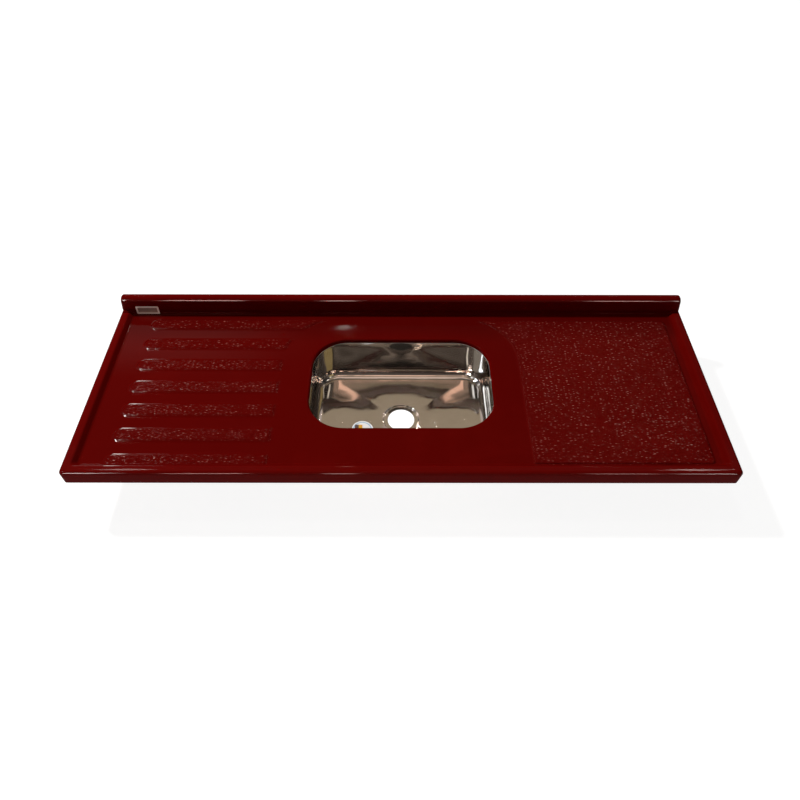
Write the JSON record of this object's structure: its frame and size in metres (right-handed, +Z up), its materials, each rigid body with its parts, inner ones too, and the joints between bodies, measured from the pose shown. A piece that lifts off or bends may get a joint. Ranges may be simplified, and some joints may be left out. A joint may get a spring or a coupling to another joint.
{
  "type": "kitchen sink top",
  "caption": "Moulded kitchen worktop with raised rims, rolled backsplash, ribbed drainer, hammered work panel and a steel bowl hung under its opening.",
  "frame": {"origin": "middle of the part's footprint, level with the underside of the bowl's waste seat, its lowest face", "axes": "+X along the worktop to the right, +Y from the front edge to the wall, +Z up"},
  "size_m": [1.5, 0.55, 0.2068],
  "materials": {
    "gelcoat": "gloss",
    "bowl_steel": "polished",
    "sealing_compound": "matte",
    "plated_steel": "satin",
    "insert_brass": "satin",
    "timber": "matte"
  },
  "bodies": {
    "root": {"worktop": "gelcoat", "bowl": "bowl_steel", "flange_seal": "sealing_compound", "bowl_clips": "plated_steel", "clip_screws": "plated_steel", "screw_inserts": "insert_brass", "front_batten": "timber", "rear_batten": "timber", "left_end_batten": "timber", "right_end_batten": "timber", "left_bowl_batten": "timber", "right_bowl_batten": "timber"}
  },
  "joints": []
}
